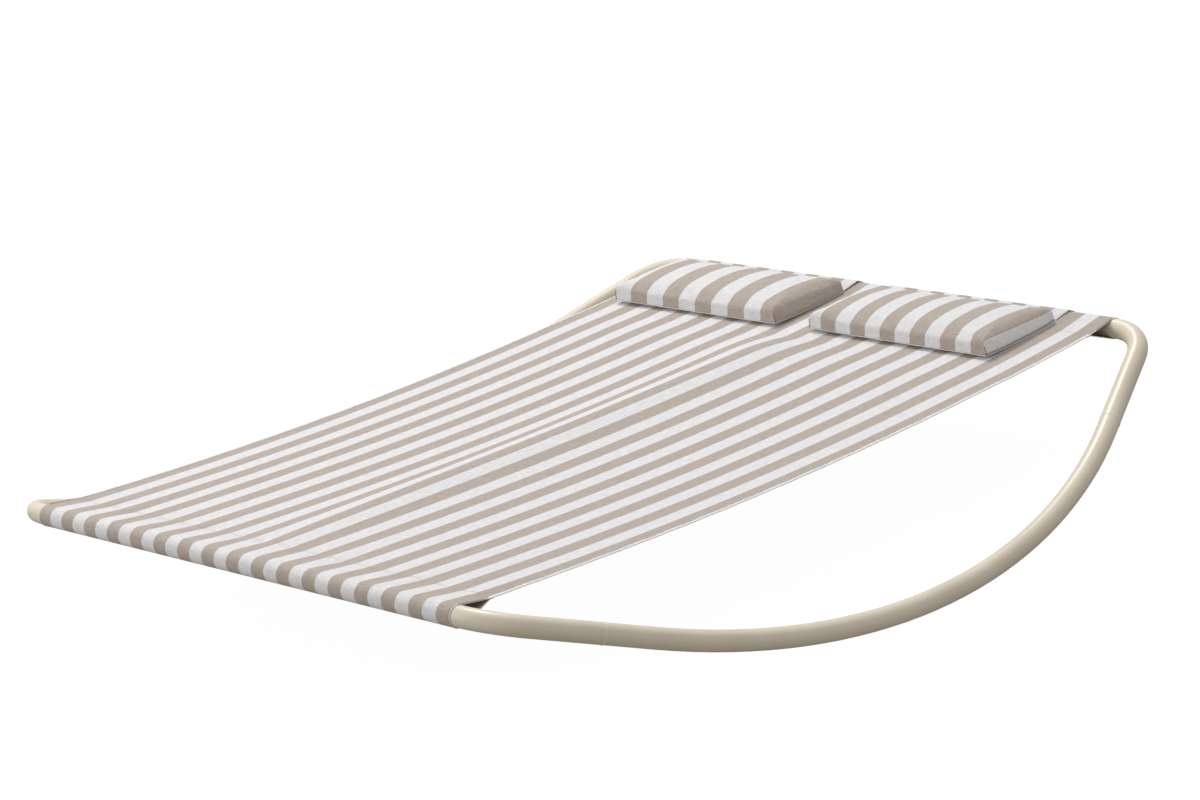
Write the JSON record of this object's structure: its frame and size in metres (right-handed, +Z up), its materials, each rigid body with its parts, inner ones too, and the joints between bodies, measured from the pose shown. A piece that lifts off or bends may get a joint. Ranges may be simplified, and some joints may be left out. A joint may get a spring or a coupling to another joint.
{
  "type": "hammock on stand",
  "caption": "Double rocking hammock bed: striped fabric sling between the end bars of a closed round-tube frame with bowed side rockers, and two flip-back pillows at the head bar.",
  "frame": {"origin": "on the floor, below the middle of the frame", "axes": "+Y to the head end with the pillows, +X to the right of someone looking from the foot to the head, +Z up"},
  "size_m": [1.9998, 1.8604, 0.2933],
  "materials": {
    "powder_coated_steel": "satin cream powder coat",
    "zinc_steel": "zinc plated",
    "sling_cloth": "woven, taupe and white lengthwise stripes",
    "binding_cloth": "white woven edge binding",
    "pillow_cloth": "woven, taupe and white stripes",
    "fibre_filling": "loose polyester fibre",
    "touch_tape": "taupe hook and loop tape"
  },
  "bodies": {
    "frame": {"foot_bar": "powder_coated_steel", "head_bar": "powder_coated_steel", "left_rocker": "powder_coated_steel", "right_rocker": "powder_coated_steel", "joint_screws": "zinc_steel", "joint_washers": "zinc_steel", "joint_nuts": "zinc_steel", "sling_fabric": "sling_cloth", "left_edge_binding": "binding_cloth", "right_edge_binding": "binding_cloth", "left_bar_wrap": "pillow_cloth", "left_hook_tape": "touch_tape", "left_loop_tape": "touch_tape", "right_bar_wrap": "pillow_cloth", "right_hook_tape": "touch_tape", "right_loop_tape": "touch_tape"},
    "left_pillow": {"left_pillow_cover": "pillow_cloth", "left_pillow_base": "pillow_cloth", "left_pillow_filling": "fibre_filling", "left_pillow_flap": "pillow_cloth"},
    "right_pillow": {"right_pillow_cover": "pillow_cloth", "right_pillow_base": "pillow_cloth", "right_pillow_filling": "fibre_filling", "right_pillow_flap": "pillow_cloth"}
  },
  "joints": [
    {"name": "left_pillow_flip", "type": "hinge", "parent": "frame", "child": "left_pillow", "pos_m": [-0.35, 0.9065, 0.23982], "axis": [-1, 0, 0], "range_deg": [0, 165]},
    {"name": "right_pillow_flip", "type": "hinge", "parent": "frame", "child": "right_pillow", "pos_m": [0.272, 0.9065, 0.23982], "axis": [-1, 0, 0], "range_deg": [0, 165]}
  ]
}
